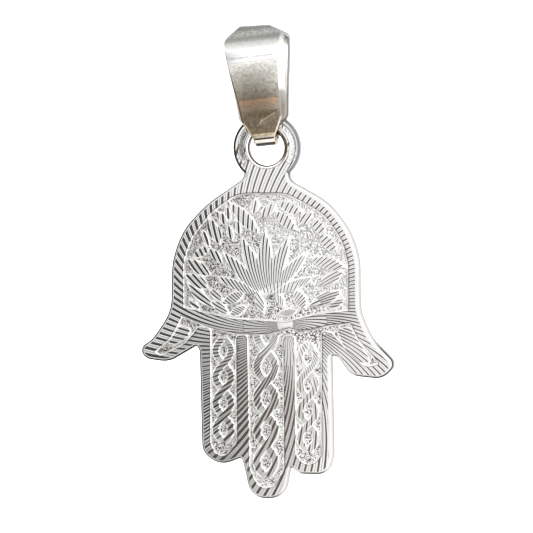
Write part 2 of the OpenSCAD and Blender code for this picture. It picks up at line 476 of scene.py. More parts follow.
def strand(loops, side):
    """One strand of a chain, which starts on the right for 1 and on the left for -1."""
    outer, holes = loops[0], sorted(loops[1:], key=lambda loop: -max(z for x, z in loop))
    middles = [(max(z for x, z in hole) + min(z for x, z in hole)) / 2 for hole in holes]
    pitch = (middles[0] - middles[-1]) / (len(middles) - 1)
    middle_x = (max(x for x, z in outer) + min(x for x, z in outer)) / 2
    width = max(x for x, z in outer) - min(x for x, z in outer)
    hole_width = max(x for x, z in holes[1]) - min(x for x, z in holes[1])
    half_strand = (width - hole_width) / 4
    swing = width / 2 - half_strand
    top = middles[0] + pitch / 2
    reach_up = 0.5 if max(z for x, z in outer) - top > pitch / 3 else -tip_gap
    count = round((len(holes) + reach_up - tip_gap) * steps_per_loop)

    def place(turn):
        """Middle of the strand's top at a number of loops below the first crossing."""
        wave = math.cos(math.pi * turn) * side
        return Vector((
            middle_x + side * swing * math.sin(math.pi * turn),
            front_y + strand_dip * max(0, wave) ** dip_sharpness,
            top - pitch * turn,
        ))

    def section(i):
        """Corners of the cross-section that many steps down the strand."""
        turn = -reach_up + (len(holes) + reach_up - tip_gap) * i / count
        here = place(turn)
        along = (place(turn + half_step) - place(turn - half_step)) * Vector((1, 0, 1))
        across = Vector((-along.z, 0, along.x)).normalized()
        run, drop = half_strand, 0
        places = []
        for step_run, step_drop in [(0, 0)] + slope + [(0, below_ground)]:
            run += step_run
            drop += step_drop
            places.append(here + across * run + Vector((0, drop, 0)))
            places.insert(0, here - across * run + Vector((0, drop, 0)))
        return places

    bm = bmesh.new()
    sweep(bm, section, count + 1)
    return solid("strand", bm, "relief edge", "hand top")


for loops in chains:
    combine(plate, "UNION", strand(loops, 1), strand(loops, -1))
print("plate with its chains", len(plate.data.polygons), "faces")

# %% [markdown]
# ## Furrows
#
# A graver has cut the raised tops with furrows. They all fan out from one point under the palm, and bend
# clockwise the further they run. One long cutter, as wide as its share of the fan, is copied round that
# point with Spin. Turning each corner about the point by an angle that grows with its distance then bends
# the whole fan. The cuts are wide and deep on the left and fine on the right, so each cutter also shrinks
# towards its middle, and in a few areas both have a width of their own. A second fan of shallow scratches
# runs between the furrows. Close to the point there isn't room for all of them, so the cuts there belong
# to inner fans with half as many.

# %% Furrow fans
fan_x, fan_z = 1.9, -17.63
fan_inner, fan_split, fan_outer = 0.8, 4.2, 18.6
fan_overlap = 0.1
fan_step = 0.5
fan_pitch = 2 * math.pi / 132
split_gap = fan_pitch * fan_split
above = 0.4
level = 0.95
furrow_profile = [
    # place across the furrow and depth, as shares of the gap between furrows
    (-0.25, 0.00),
    (-0.11, 0.15),
    (0.11, 0.15),
    (0.25, 0.00),
]
scratch_profile = [
    (-0.05, 0.00),
    (0.00, 0.04),
    (0.05, 0.00),
]
wide_left, narrow_right = 1.0, 0.58
left_x, right_x = -8.0, 3.0
cut_areas = [
    # x and z of the middle, even radius, whole radius, widths of furrows and of scratches there
    (0, -3, 2.5, 5.5, 0.5, 1.0),
    (-9.5, -19.5, 1.5, 3.5, 0.85, 1.0),
    (-8.5, -26, 3.5, 6, 0.5, 2.6),
    (9, -14.5, 1.5, 4, 0.66, 1.5),
    (6.5, -28, 3, 6, 0.62, 1.5),
    (-1.5, -25.5, 3, 5.5, 1.1, 1.5),
    (5.5, -17.3, 2, 4, 1.05, 1.0),
]
straight_at = 8.0
turn_near, turn_far = 0.08, 0.034
turn_sideways, turn_upwards = 0.85, 0.15
fans = [
    # pitch, then the distance of the inner and of the outer end with the gap that each is sized for
    (2 * fan_pitch, (fan_inner, 0.55 * split_gap), (fan_split + fan_overlap, 1.5 * split_gap)),
    (fan_pitch, (fan_split, split_gap), (fan_outer, fan_pitch * fan_outer)),
]


def fan_turn(distance, bearing):
    """Angle by which the fan turns clockwise at a distance from its middle."""
    strength = turn_sideways + turn_upwards * math.cos(bearing)
    return strength * (turn_near * math.log(distance / straight_at) + turn_far * (distance - straight_at))


def ramp(value, low, high):
    """0 below low, 1 above high, and even between them."""
    return min(1, max(0, (value - low) / (high - low)))


def local_width(width, x, z, column):
    """The width at a place, after the areas round it have changed it."""
    for at_x, at_z, even, whole, *widths in cut_areas:
        width += (widths[column] - width) * ramp(-math.hypot(x - at_x, z - at_z), -whole, -even)
    return width


def furrow_width(x, z):
    """Width of a furrow at a place, as a share of its full width."""
    return local_width(wide_left + (narrow_right - wide_left) * ramp(x, left_x, right_x), x, z, 0)


def scratch_width(x, z):
    """Width of a scratch at a place, as a share of its full width."""
    return local_width(1.0, x, z, 1)


def fan(profile, phase, width, pitch, ends, *finish_names):
    """All cuts of one profile, where steep faces have the first finish and flat ones the last."""
    def section(distance, gap):
        """Corners of the upright cutter's cross-section at a distance."""
        corners = [(across * gap, depth * gap) for across, depth in profile]
        corners += [(corners[-1][0], -above), (corners[0][0], -above)]
        return [(fan_x + across, front_y + depth, fan_z + distance) for across, depth in corners]

    bm = bmesh.new()
    sweep(bm, lambda i: section(*ends[i]), 2)
    long_edges = [edge for edge in bm.edges if edge.calc_length() > 2 * above]
    step_count = round((ends[1][0] - ends[0][0]) / fan_step)
    bmesh.ops.subdivide_edges(bm, edges=long_edges, cuts=step_count, use_grid_fill=True)
    for face in bm.faces:
        face.material_index = (len(finish_names) - 1) * (abs(face.normal.y) > level)
    copies = round(2 * math.pi / pitch) - 1
    bmesh.ops.spin(
        bm,
        geom=bm.verts[:] + bm.edges[:] + bm.faces[:],
        cent=(fan_x, 0, fan_z),
        axis=(0, 1, 0),
        dvec=(0, 0, 0),
        angle=copies * pitch,
        steps=copies,
        use_duplicate=True,
    )
    for vert in bm.verts:
        from_x, from_z = vert.co.x - fan_x, vert.co.z - fan_z
        distance = math.hypot(from_x, from_z)
        bearing = math.atan2(from_x, from_z)
        middle = round(bearing / pitch) * pitch
        turned = middle + phase * pitch + fan_turn(distance, middle)
        size = width(fan_x + distance * math.sin(turned), fan_z + distance * math.cos(turned))
        bearing = turned + (bearing - middle) * size
        vert.co.x = fan_x + distance * math.sin(bearing)
        vert.co.z = fan_z + distance * math.cos(bearing)
        vert.co.y = front_y + (vert.co.y - front_y) * size
    return solid("fan", bm, *finish_names)


cuts = []
for pitch, *ends in fans:
    cuts.append(fan(furrow_profile, 0, furrow_width, pitch, ends, "furrow side", "furrow floor"))
    cuts.append(fan(scratch_profile, 0.5, scratch_width, pitch, ends, "scratch"))
furrows = cuts[0]
combine(furrows, "UNION", *cuts[1:])
print("furrows", len(furrows.data.polygons), "faces")

# %% [markdown]
# The cuts stop short of the rim. What they share with a block a little smaller than the outline, and with
# the same block moved down and to the left, leaves a smooth rim that is widest at the upper right. They
# also keep clear of the eye.

# %% Cut the furrows
rim_clear = 0.05
mask_move = Vector((-0.2, 0, -0.15))
eye_clear = 2.15
guard_depth = 2


def mask(move):
    """A block over the outline that lies inside its rim, moved by that much."""
    bm = bmesh.new()
    face = flat_face(bm, smooth(outline), front_y - above, 1)
    grow(bm, face, [(sum(run for run, rise in rim_steps) + polished_step[0] + rim_clear, 0)])
    bmesh.ops.delete(bm, geom=[other for other in bm.faces if other is not face], context="FACES")
    grow(bm, face, [(0, 2 * above)])
    close(bm)
    bmesh.ops.translate(bm, vec=move, verts=bm.verts)
    return solid("mask", bm, "furrow side")


eye_bm = bmesh.new()
bmesh.ops.create_cone(
    eye_bm,
    cap_ends=True,
    segments=round_steps,
    radius1=eye_clear,
    radius2=eye_clear,
    depth=guard_depth,
    matrix=upright,
)
combine(furrows, "INTERSECT", mask(Vector()), mask(mask_move))
combine(furrows, "DIFFERENCE", solid("eye guard", eye_bm, "furrow side"))
combine(plate, "DIFFERENCE", furrows)
print("plate with its furrows", len(plate.data.polygons), "faces")

# %% [markdown]
# ## The hole
#
# The hole of the eye goes in last, so that no furrow crosses its lip. Its mouths flare a little, front
# and back, where years of swinging have worn them round.

# %% Hole of the eye
hole_r = (max(x for x, z in hole) - min(x for x, z in hole)) / 2
mouth_steps = [(-0.13, 0.09), (-0.14, 0.05), (-0.06, 0.02)]
mouth_height = sum(rise for run, rise in mouth_steps)

hole_finishes = numbered("bore", "worn lip", "rim line")
hole_bm = bmesh.new()
bmesh.ops.create_circle(hole_bm, cap_ends=True, segments=round_steps, radius=hole_r, matrix=upright)
hole_bm.normal_update()
for first in (True, False):
    end = hole_bm.faces[:][0] if first else close(hole_bm)[0]
    grow(hole_bm, end, [(0, (back_y - front_y) / 2 - mouth_height)] + mouth_steps[:1])
    grow(hole_bm, end, mouth_steps[1:2], side_finish=hole_finishes["worn lip"])
    grow(hole_bm, end, mouth_steps[2:] + [(0, proud)], side_finish=hole_finishes["rim line"])
combine(plate, "DIFFERENCE", solid("bore", hole_bm, *hole_finishes))
print("hole radius", round(hole_r, 2), "mm")

# %% [markdown]
# ## Casting pits
#
# A few gas bubbles left small pits in the casting, where dark tarnish sits.

# %% Pits
pits = [
    # x, z, radius
    (2.1, -5.1, 0.09),
    (2.95, -5.35, 0.1),
    (5.15, -6.6, 0.11),
    (4.9, -8.25, 0.1),
    (3.0, -10.25, 0.09),
    (7.75, -11.1, 0.09),
    (-1.9, -3.9, 0.07),
]
pit_depth = 0.12
pit_sides = 8
pit_flare = 2

for x, z, radius in pits:
    pit_bm = bmesh.new()
    bmesh.ops.create_cone(
        pit_bm,
        cap_ends=True,
        segments=pit_sides,
        radius1=radius / pit_flare,
        radius2=radius * pit_flare,
        depth=pit_depth + proud,
        matrix=Matrix.Translation((x, front_y + (pit_depth - proud) / 2, z)) @ upright,
    )
    combine(plate, "DIFFERENCE", solid("pit", pit_bm, "bubble"))
print("plate with its pits", len(plate.data.polygons), "faces")

# %% [markdown]
# ## Into its place
#
# A thin casting never comes out quite flat: this one bows back a little towards its sides. It then moves
# from millimetres round the eye to metres in the frame. Edges that turn by more than a limit stay crisp,
# and the rest shade smoothly. The struck ground is left in facets, because each tiny pit should catch the
# light by itself. So many cuts leave a few stray faces that enclose nothing, and those are deleted.

# %% Place the casting
crisp = math.radians(30)
touching = 0.0002
most_corners = 4
bow_depth = 0.2
half_width = max(x for x, z in outline)

for vert in plate.data.vertices:
    vert.co.y += bow_depth * (vert.co.x / half_width) ** 2


def drop_strays(bm):
    """Deletes faces that lie back to back on the same corners, and flaps with an open edge."""
    on_corners = {}
    for face in bm.faces:
        on_corners.setdefault(frozenset(face.verts), []).append(face)
    twins = [face for faces in on_corners.values() if len(faces) > 1 for face in faces]
    bmesh.ops.delete(bm, geom=twins, context="FACES")
    flaps = [face for face in bm.faces if any(edge.is_boundary for edge in face.edges)]
    bmesh.ops.delete(bm, geom=flaps, context="FACES")


def settle(piece, name, body, faceted=()):
    """Moves a piece to its place, shades it, and tells the frame what it stands for."""
    piece.name = piece.data.name = name
    piece.data.transform(Matrix.Translation(eye) @ Matrix.Scale(per_mm, 4))
    bm = bmesh.new()
    bm.from_mesh(piece.data)
    bmesh.ops.triangulate(bm, faces=[face for face in bm.faces if len(face.verts) > most_corners])
    bmesh.ops.dissolve_degenerate(bm, edges=bm.edges, dist=touching * per_mm)
    drop_strays(bm)
    names = [material.name for material in piece.data.materials]
    for face in bm.faces:
        face.smooth = names[face.material_index] not in faceted
    for edge in bm.edges:
        edge.smooth = edge.calc_face_angle(math.pi) < crisp
    bm.to_mesh(piece.data)
    print(name, len(bm.faces), "faces, volume", round(bm.calc_volume() / per_mm**3, 1), "cubic mm")
    bm.free()
    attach(piece, body)


settle(plate, "hand_casting", "hand", faceted=["ground"])
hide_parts("hand")

# %% [markdown]
# ## The bail
#
# The bail is one strap with bevelled edges, bent round and closed. Its CAD solid has the right form, in
# flat strips. A copy of it is merged and its triangles are joined back into strips. The straight front is
# then cut across and bulges a little, as a hand-bent strap does, and the long edges are rounded with a
# bevel. The rear ones are rounded more widely, and have a finish of their own.

# %% Bail
front_edge, rear_edge = 0.15, 0.28
bulge = 0.12
bulge_low, bulge_high = -0.6, 8.2
bulge_cuts = 9
edge_segments = 3
flat_enough, sharp_enough = math.radians(2), math.radians(35)
longest_cross_edge = 3
flank_facing = 0.7
bail_finishes = numbered(
    "strap", "strap flank", "strap inside", "right edge", "left edge", "fold", "rear edge"
)
lean = math.atan2(eye.x, -eye.z)
up_strap = Vector((-math.sin(lean), 0, math.cos(lean)))

bail_bm = copy_of("bail")
bmesh.ops.join_triangles(
    bail_bm, faces=bail_bm.faces, angle_face_threshold=flat_enough, angle_shape_threshold=math.pi
)
straight = [
    edge for edge in bail_bm.edges
    if abs(edge.verts[0].co.z - edge.verts[1].co.z) > longest_cross_edge
]
bmesh.ops.subdivide_edges(bail_bm, edges=straight, cuts=bulge_cuts, use_grid_fill=True)
for vert in bail_bm.verts:
    share = (vert.co.z - bulge_low) / (bulge_high - bulge_low)
    if vert.co.y < 0 and 0 < share < 1:
        vert.co.y -= bulge * 4 * share * (1 - share)

middle_z = (cad_high.z - eye.z) / per_mm / 2
for face in bail_bm.faces:
    middle = face.calc_center_median()
    inward = Vector((0, -middle.y, middle_z - middle.z))
    if abs(face.normal.x) > flank_facing:
        face.material_index = bail_finishes["strap flank"]
    elif face.normal.dot(inward) > 0:
        face.material_index = bail_finishes["strap inside"]
for rear, width in ((False, front_edge), (True, rear_edge)):
    sharp = [edge for edge in bail_bm.edges if edge.calc_face_angle(0) > sharp_enough]
    bmesh.ops.bevel(
        bail_bm,
        geom=[edge for edge in sharp if (min(vert.co.y for vert in edge.verts) >= 0) == rear],
        offset=width,
        segments=edge_segments,
        profile=0.5,
        affect="EDGES",
        material=bail_finishes["right edge"],
    )
# Edges that face left get a finish of their own, which paints them darker as shade
edge_finishes = (bail_finishes["strap flank"], bail_finishes["right edge"])
for face in bail_bm.faces:
    if face.material_index in edge_finishes and face.calc_center_median().y > 0:
        face.material_index = bail_finishes["rear edge"]
    elif face.material_index == bail_finishes["right edge"] and face.normal.x < 0:
        face.material_index = bail_finishes["left edge"]

# %% [markdown]
# Bending has left a sharp fold at the foot of the front, and a flat land below it. Planes cut the front
# at a few heights, and each corner between them moves out, by as much as lies between the values of the
# two nearest heights. The arch was hammered at its shoulders too: the left one is a little higher, which
# levels its top, and both are pushed to the right.

# %% Folds of the bail
fold_rows = [
    # height along the strap and how far it stands out there
    (0.46, 0.00),
    (0.56, 0.40),
    (0.84, 0.06),
    (0.92, 0.02),
    (1.00, 0.14),
    (1.34, 0.06),
    (1.42, 0.00),
]
shoulder_low, shoulder_high, shoulder_lift, shoulder_shift = 10.6, 12.2, 0.07, 0.27
fold_front = -0.6

for height, out in fold_rows:
    bmesh.ops.bisect_plane(
        bail_bm,
        geom=bail_bm.verts[:] + bail_bm.edges[:] + bail_bm.faces[:],
        plane_co=up_strap * height,
        plane_no=up_strap,
    )
for vert in bail_bm.verts:
    height = up_strap.dot(vert.co)
    for (low, out_low), (high, out_high) in zip(fold_rows, fold_rows[1:]):
        if vert.co.y < fold_front and low < height <= high:
            vert.co.y -= out_low + (out_high - out_low) * ramp(height, low, high)
            break
for vert in bail_bm.verts:
    share = ramp(vert.co.z, shoulder_low, shoulder_high)
    vert.co.z += shoulder_lift * max(0, -vert.co.x) * share
    vert.co.x += shoulder_shift * 4 * share * (1 - share)
for face in bail_bm.faces:
    low_down = up_strap.dot(face.calc_center_median()) < fold_rows[-1][0]
    if low_down and face.material_index == bail_finishes["strap"]:
        face.material_index = bail_finishes["fold"]
bail = solid("bail", bail_bm, *bail_finishes)

# %% [markdown]
# A knock has scratched the strap low on its front. A ray finds how far forward the metal is at each end
# of a scratch, and a thin three-sided bar between them cuts it.

# %% Scratches on the bail
knocks = [
    # x and z of one end, x and z of the other, width
    (1.2, 3.55, -0.1, 2.75, 0.12),
    (-0.1, 2.75, -0.45, 2.35, 0.16),
    (-2.8, 2.9, -2.65, 2.6, 0.1),
]
knock_depth, knock_spread = 1 / 3, 2
in_front = -10


def bar(start, end, sideways, width):
    """A three-sided bar, whose lowest edge lies under the surface between two places on it."""
    bm = bmesh.new()
    across = sideways * width * knock_spread

    def section(i):
        """Corners of the bar at its start or at its end."""
        middle = (start, end)[i]
        high = middle - Vector((0, width, 0))
        return [middle + Vector((0, width * knock_depth, 0)), high + across, high - across]

    sweep(bm, section, 2)
    return solid("bar", bm, "knock", "knock")


for x1, z1, x2, z2, width in knocks:
    start = bail.ray_cast(Vector((x1, in_front, z1)), Vector((0, 1, 0)))[1]
    end = bail.ray_cast(Vector((x2, in_front, z2)), Vector((0, 1, 0)))[1]
    along = (end - start).normalized()
    combine(bail, "DIFFERENCE", bar(start, end, Vector((-along.z, 0, along.x)), width))
settle(bail, "strap_bail", "bail")
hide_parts("bail")

# %% [markdown]
# ## Silver
#
# All of it is one metal. What differs is how worn each surface is: polished on the edges, matt on the
# sides, and dark where tarnish has stayed. Each finish fades from its left colour to its right colour along
# X, and a slow noise wanders through the fade: the left of the casting is darker, partly from tarnish and
# partly as painted shade. Round patches of another colour lie over it. Most are painted shade, such as the
# grey over the fingers, a few are painted highlights, and in the furrows they are tarnish. Fine noise
# varies the roughness and raises a bump, and on the ground and the back it also spots the colour. On the
# ground the dark spots are painted shade in the punch pits.

# %% Colours and patches
fade_low, fade_high = -9.0, 4.0
black, dark, grey = (0.012, 0.012, 0.01), (0.07, 0.07, 0.06), (0.38, 0.38, 0.37)
fingers_shade_grey, pale, white = (0.50, 0.50, 0.49), (0.58, 0.58, 0.57), (0.84, 0.84, 0.84)
# The second colour on the next line is a grey for painted shade
violet, shade_grey = (0.17, 0.165, 0.175), (0.4, 0.4, 0.38)
brown, soot = (0.20, 0.155, 0.13), (0.035, 0.035, 0.03)
# Each patch is x and z of its middle, its even radius and its whole radius, in mm from the eye
# Painted shade: the tops of the fingers are greyed over
fingers_painted_shade = (-4, -27, 6, 11)
# Painted shade: the middle of the crossband is greyed over
band_painted_shade = (-0.6, -17.9, 1.2, 2.6)
# A painted highlight: the tops round the neck are whitened; the furrows there are tarnished brown
neck_painted_highlight = (0, -3, 3, 6)
palm_dark = (-1.5, -12.5, 3.5, 7)
finger_rim = (-8.5, -26, 3, 5)
# Painted shade on the ground to the left of the eye
eye_painted_shade = (-2.7, 0.3, 0.9, 2.0)
# Painted shade on the sides and the chamfer round the eye ring
ring_left_shade, ring_right_shade = (-3, 0, 2.5, 4), (3.3, 0, 2.5, 4)
# Painted shade on the sides and rims at the tips of the thumbs
left_tip_shade, right_tip_shade = (-12.5, -20.5, 1, 3.5), (12.2, -21.5, 1.2, 3)
# Painted shade at the corner of the neck, on its sides, rim and top
neck_corner_shade, neck_shade = (2.35, -2.85, 0.3, 1.1), (2.1, -2.75, 0.1, 0.5)
# Painted shade on the top at the tip of the small finger
small_tip_shade = (-4.6, -31.4, 0.8, 2.2)
# Painted light on the ground: the dark spots fade to white or grey there
eye_painted_light, top_painted_light, right_painted_light = (3.4, 0.8, 2.2, 4), (2, -6.5, 2, 5), (8, -12, 3, 7)
lip_dull, lip_brown = (2, 0.3, 0.9, 2.2), (0.30, 0.24, 0.17)
print(len(finishes), "finishes to fill")


# %% Helpers for nodes
def colour_mix(nodes, links, factor, first, second):
    """The output of a node that mixes two colours, each a constant or a socket."""
    mix = nodes.new("ShaderNodeMix")
    mix.data_type = "RGBA"
    links.new(factor, mix.inputs["Factor"])
    for socket, value in ((mix.inputs["A"], first), (mix.inputs["B"], second)):
        if isinstance(value, tuple):
            socket.default_value = (*value, 1)
        else:
            links.new(value, socket)
    return mix.outputs["Result"]


def spread(nodes, links, value, low, high, to_low=0.0, to_high=1.0):
    """The output of a node that eases a value from one range to another."""
    step = nodes.new("ShaderNodeMapRange")
    step.interpolation_type = "SMOOTHSTEP"
    links.new(value, step.inputs["Value"])
    for name, number in (("From Min", low), ("From Max", high), ("To Min", to_low), ("To Max", to_high)):
        step.inputs[name].default_value = number
    return step.outputs["Result"]


def noise_of(nodes, links, place, grain, detail=2):
    """The output of a noise whose blobs measure about that many millimetres."""
    noise = nodes.new("ShaderNodeTexNoise")
    noise.inputs["Scale"].default_value = 1 / (grain * per_mm)
    noise.inputs["Detail"].default_value = detail
    links.new(place, noise.inputs["Vector"])
    return noise.outputs["Fac"]


def patched(nodes, links, place, colour, patches):
    """The output of nodes that lay round patches, each with its colour, over a colour."""
    for x, z, inner, outer, patch_colour in patches:
        away = nodes.new("ShaderNodeVectorMath")
        away.operation = "DISTANCE"
        links.new(place, away.inputs[0])
        away.inputs[1].default_value = eye + Vector((x, 0, z)) * per_mm
        inside = spread(nodes, links, away.outputs["Value"], outer * per_mm, inner * per_mm)
        colour = colour_mix(nodes, links, inside, colour, patch_colour)
    return colour


# %% Cast silver
wander_reach, wander_grain = 6.0, 3.0
fine_grain = 0.15
fine_bump = 0.02
spots_from, spots_whole, spots_gain = 0.64, 0.70, 0.2


def bare_metal(name):
    """The nodes and links of a finish, its shader made metal, and the output that tells the place."""
    tree = finish(name).node_tree
    shader = tree.nodes["Principled BSDF"]
    shader.inputs["Metallic"].default_value = 1
    return tree.nodes, tree.links, shader, tree.nodes.new("ShaderNodeTexCoord").outputs["Object"]


def wear(nodes, links, shader, grain, least, most, strength):
    """Lets a noise vary the roughness between two values, and raise a fine bump."""
    links.new(spread(nodes, links, grain, 0.3, 0.7, least, most), shader.inputs["Roughness"])
    bumps = nodes.new("ShaderNodeBump")
    bumps.inputs["Strength"].default_value = strength
    bumps.inputs["Distance"].default_value = fine_bump * per_mm
    links.new(grain, bumps.inputs["Height"])
    links.new(bumps.outputs["Normal"], shader.inputs["Normal"])


def silver(
    name, left, right, roughness, patches=(), spots=0.0, spot_grain=0.2, spot_colour=black, spot_patches=()
):
    """Fills a finish with a fade of two colours along X, round patches, spots and a fine bump."""
    nodes, links, shader, place = bare_metal(name)
    apart = nodes.new("ShaderNodeSeparateXYZ")
    links.new(place, apart.inputs["Vector"])
    slow = noise_of(nodes, links, place, wander_grain)
    wander = nodes.new("ShaderNodeMath")
    wander.operation = "MULTIPLY_ADD"
    links.new(slow, wander.inputs[0])
    wander.inputs[1].default_value = wander_reach * per_mm
    links.new(apart.outputs["X"], wander.inputs[2])
    middle = eye.x + wander_reach / 2 * per_mm
    low, high = middle + fade_low * per_mm, middle + fade_high * per_mm
    fade = spread(nodes, links, wander.outputs["Value"], low, high)
    colour = patched(nodes, links, place, colour_mix(nodes, links, fade, left, right), patches)
    if spots:
        fine = noise_of(nodes, links, place, spot_grain, detail=1)
        more = spots_gain * spots
        spot = spread(nodes, links, fine, spots_from - more, spots_whole - more)
        over = patched(nodes, links, place, spot_colour, spot_patches)
        colour = colour_mix(nodes, links, spot, colour, over)
    links.new(colour, shader.inputs["Base Color"])
    grain = noise_of(nodes, links, place, fine_grain, detail=4)
    wear(nodes, links, shader, grain, roughness * 0.8, roughness * 1.25, 0.2)


# %% Finishes of the casting
# Over the tops lie a painted highlight and painted shade; over the sides and rims, painted shade
top_shade_and_highlight = [
    (*neck_painted_highlight, white),
    (*neck_shade, shade_grey),
    (*fingers_painted_shade, fingers_shade_grey),
    (*band_painted_shade, pale),
    (*small_tip_shade, grey),
]
side_shade = [
    (*ring_left_shade, black),
    (*ring_right_shade, violet),
    (*neck_corner_shade, violet),
    (*left_tip_shade, black),
    (*right_tip_shade, black),
]
rim_shade = [(*neck_corner_shade, violet), (*left_tip_shade, black), (*right_tip_shade, dark)]
furrow_patches = [(*neck_painted_highlight, brown), (*palm_dark, soot), (*finger_rim, dark)]
spot_painted_light = [(*eye_painted_light, white), (*top_painted_light, grey), (*right_painted_light, grey)]

silver("hand top", (0.76, 0.77, 0.76), (0.84, 0.84, 0.83), 0.22, top_shade_and_highlight)
silver("relief edge", (0.97, 0.97, 0.95), (0.99, 0.99, 0.98), 0.45)
silver("hand side", (0.07, 0.065, 0.06), (0.09, 0.085, 0.08), 0.3, side_shade)
silver("hand rim", (0.035, 0.03, 0.025), (0.46, 0.45, 0.43), 0.3, rim_shade)
silver("ring rim", (0.02, 0.02, 0.015), (0.02, 0.02, 0.015), 0.35, [(*ring_right_shade, violet)])
silver("rim line", (0.05, 0.045, 0.04), (0.20, 0.13, 0.10), 0.35)
silver(
    "hand back", (0.27, 0.27, 0.26), (0.33, 0.33, 0.32), 0.4,
    spots=0.3, spot_grain=0.4, spot_colour=(0.23, 0.225, 0.22),
)
silver("furrow side", (0.03, 0.03, 0.025), (0.14, 0.10, 0.08), 0.3, furrow_patches)
silver("furrow floor", (0.10, 0.10, 0.09), (0.18, 0.13, 0.11), 0.3, furrow_patches)
silver("scratch", (0.30, 0.30, 0.29), (0.52, 0.51, 0.49), 0.3, [(*finger_rim, dark)])
# The ground's dark spots are painted shade in the punch pits, and painted light fades them near the eye
silver(
    "ground", (0.66, 0.64, 0.62), (1.0, 0.99, 0.98), 0.35, [(*eye_painted_shade, shade_grey)],
    spots=0.68, spot_grain=0.11, spot_colour=(0.05, 0.04, 0.035), spot_patches=spot_painted_light,
)
silver("bore", (0.05, 0.035, 0.025), (0.05, 0.035, 0.025), 0.3)
silver("worn lip", (0.95, 0.93, 0.90), (0.95, 0.93, 0.90), 0.25, [(*lip_dull, lip_brown)])
silver("bubble", (0.05, 0.02, 0.015), (0.05, 0.02, 0.015), 0.4)

# %% [markdown]
# The strap's colour changes in bands from top to bottom. They are partly tarnish and partly painted
# light: the white bands are painted highlights, and the darkest ones, at the fold and over the top of the
# arch, are painted shade. A colour ramp along the strap holds them, and its opacity says how much of a
# brown mottle of tarnish shows in each band.

# %% Bands of the strap
strap_bands = [
    # height along the strap over the middle of the eye in mm, red, green, blue, share of the mottle
    (1.40, 0.86, 0.76, 0.61, 0.8),
    (2.00, 0.90, 0.83, 0.74, 0.9),
    (3.20, 0.76, 0.70, 0.61, 0.9),
    (4.00, 0.74, 0.64, 0.53, 0.7),
    (4.62, 0.90, 0.62, 0.44, 0.5),
    (4.80, 0.88, 0.60, 0.42, 0.5),
    (4.90, 0.50, 0.44, 0.38, 0.8),
    (5.80, 0.66, 0.63, 0.57, 0.8),
    (6.80, 0.81, 0.80, 0.75, 0.55),
    (7.60, 0.87, 0.87, 0.83, 0.5),
    (8.45, 0.86, 0.84, 0.80, 0.3),
    (8.52, 1.00, 0.98, 0.94, 0.0),
    (8.60, 0.76, 0.72, 0.69, 0.3),
    (8.70, 1.00, 1.00, 1.00, 0.0),
    (9.00, 1.00, 1.00, 1.00, 0.0),
    (9.08, 0.84, 0.84, 0.83, 0.8),
    (9.18, 1.00, 1.00, 1.00, 0.0),
    (9.90, 1.00, 1.00, 1.00, 0.0),
    (10.15, 0.66, 0.66, 0.64, 0.2),
    (10.40, 0.43, 0.43, 0.42, 0.3),
    (10.55, 0.36, 0.36, 0.35, 0.4),
    (10.75, 0.28, 0.28, 0.27, 0.5),
    (11.05, 0.35, 0.35, 0.33, 0.6),
    (11.35, 0.62, 0.62, 0.59, 0.7),
    (11.65, 0.62, 0.62, 0.59, 0.8),
    (11.95, 0.30, 0.30, 0.28, 0.9),
    (12.25, 0.11, 0.11, 0.10, 0.9),
]
# On the fold, the white band on the bar is a painted highlight, and the dark bands below and above it are
# painted shade
fold_bands = [
    # height, red, green, blue, mottle
    (0.48, 0.06, 0.05, 0.04, 0.2),
    (0.56, 0.90, 0.86, 0.80, 0.2),
    (0.80, 1.00, 0.97, 0.92, 0.2),
    (0.84, 0.14, 0.10, 0.07, 0.2),
    (0.94, 0.10, 0.07, 0.05, 0.2),
    (1.02, 0.74, 0.66, 0.58, 0.4),
    (1.14, 0.72, 0.64, 0.55, 0.4),
    (1.20, 0.64, 0.52, 0.37, 0.8),
    (1.34, 0.70, 0.57, 0.41, 0.8),
    (1.42, 0.66, 0.58, 0.45, 0.9),
]
flank_bands = [
    # height, red, green, blue, mottle
    (-1.5, 0.20, 0.18, 0.155, 0.5),
    (4.0, 0.15, 0.14, 0.125, 0.5),
    (5.4, 0.26, 0.245, 0.225, 0.3),
    (6.2, 0.95, 0.93, 0.91, 0.0),
    (9.9, 1.00, 1.00, 0.99, 0.0),
    (10.3, 0.55, 0.55, 0.54, 0.2),
    (10.6, 0.40, 0.40, 0.39, 0.4),
    (11.2, 0.24, 0.24, 0.23, 0.6),
    (12.2, 0.21, 0.21, 0.20, 0.8),
]
rear_edge_bands = [
    # height, red, green, blue, mottle
    (-1.5, 0.20, 0.18, 0.155, 0.5),
    (5.4, 0.26, 0.245, 0.225, 0.3),
    (6.2, 0.30, 0.29, 0.28, 0.1),
    (9.9, 0.28, 0.28, 0.27, 0.1),
    (11.0, 0.40, 0.40, 0.39, 0.4),
    (12.2, 0.30, 0.30, 0.29, 0.8),
]
inside_bands = [
    # height, red, green, blue, mottle
    (-1.5, 0.58, 0.53, 0.47, 0.3),
    (5.0, 0.66, 0.62, 0.57, 0.3),
    (5.8, 0.95, 0.93, 0.90, 0.2),
    (9.9, 0.97, 0.96, 0.94, 0.2),
    (12.2, 0.80, 0.80, 0.77, 0.3),
]
right_edge_bands = [
    # height, red, green, blue, mottle
    (-1.5, 0.62, 0.50, 0.36, 0.3),
    (2.7, 0.58, 0.50, 0.40, 0.3),
    (3.1, 0.22, 0.20, 0.18, 0.3),
    (5.4, 0.30, 0.28, 0.26, 0.3),
    (6.2, 0.97, 0.96, 0.94, 0.0),
    (9.9, 1.00, 1.00, 0.98, 0.0),
    (10.4, 0.55, 0.55, 0.54, 0.2),
    (12.2, 0.25, 0.25, 0.24, 0.5),
]
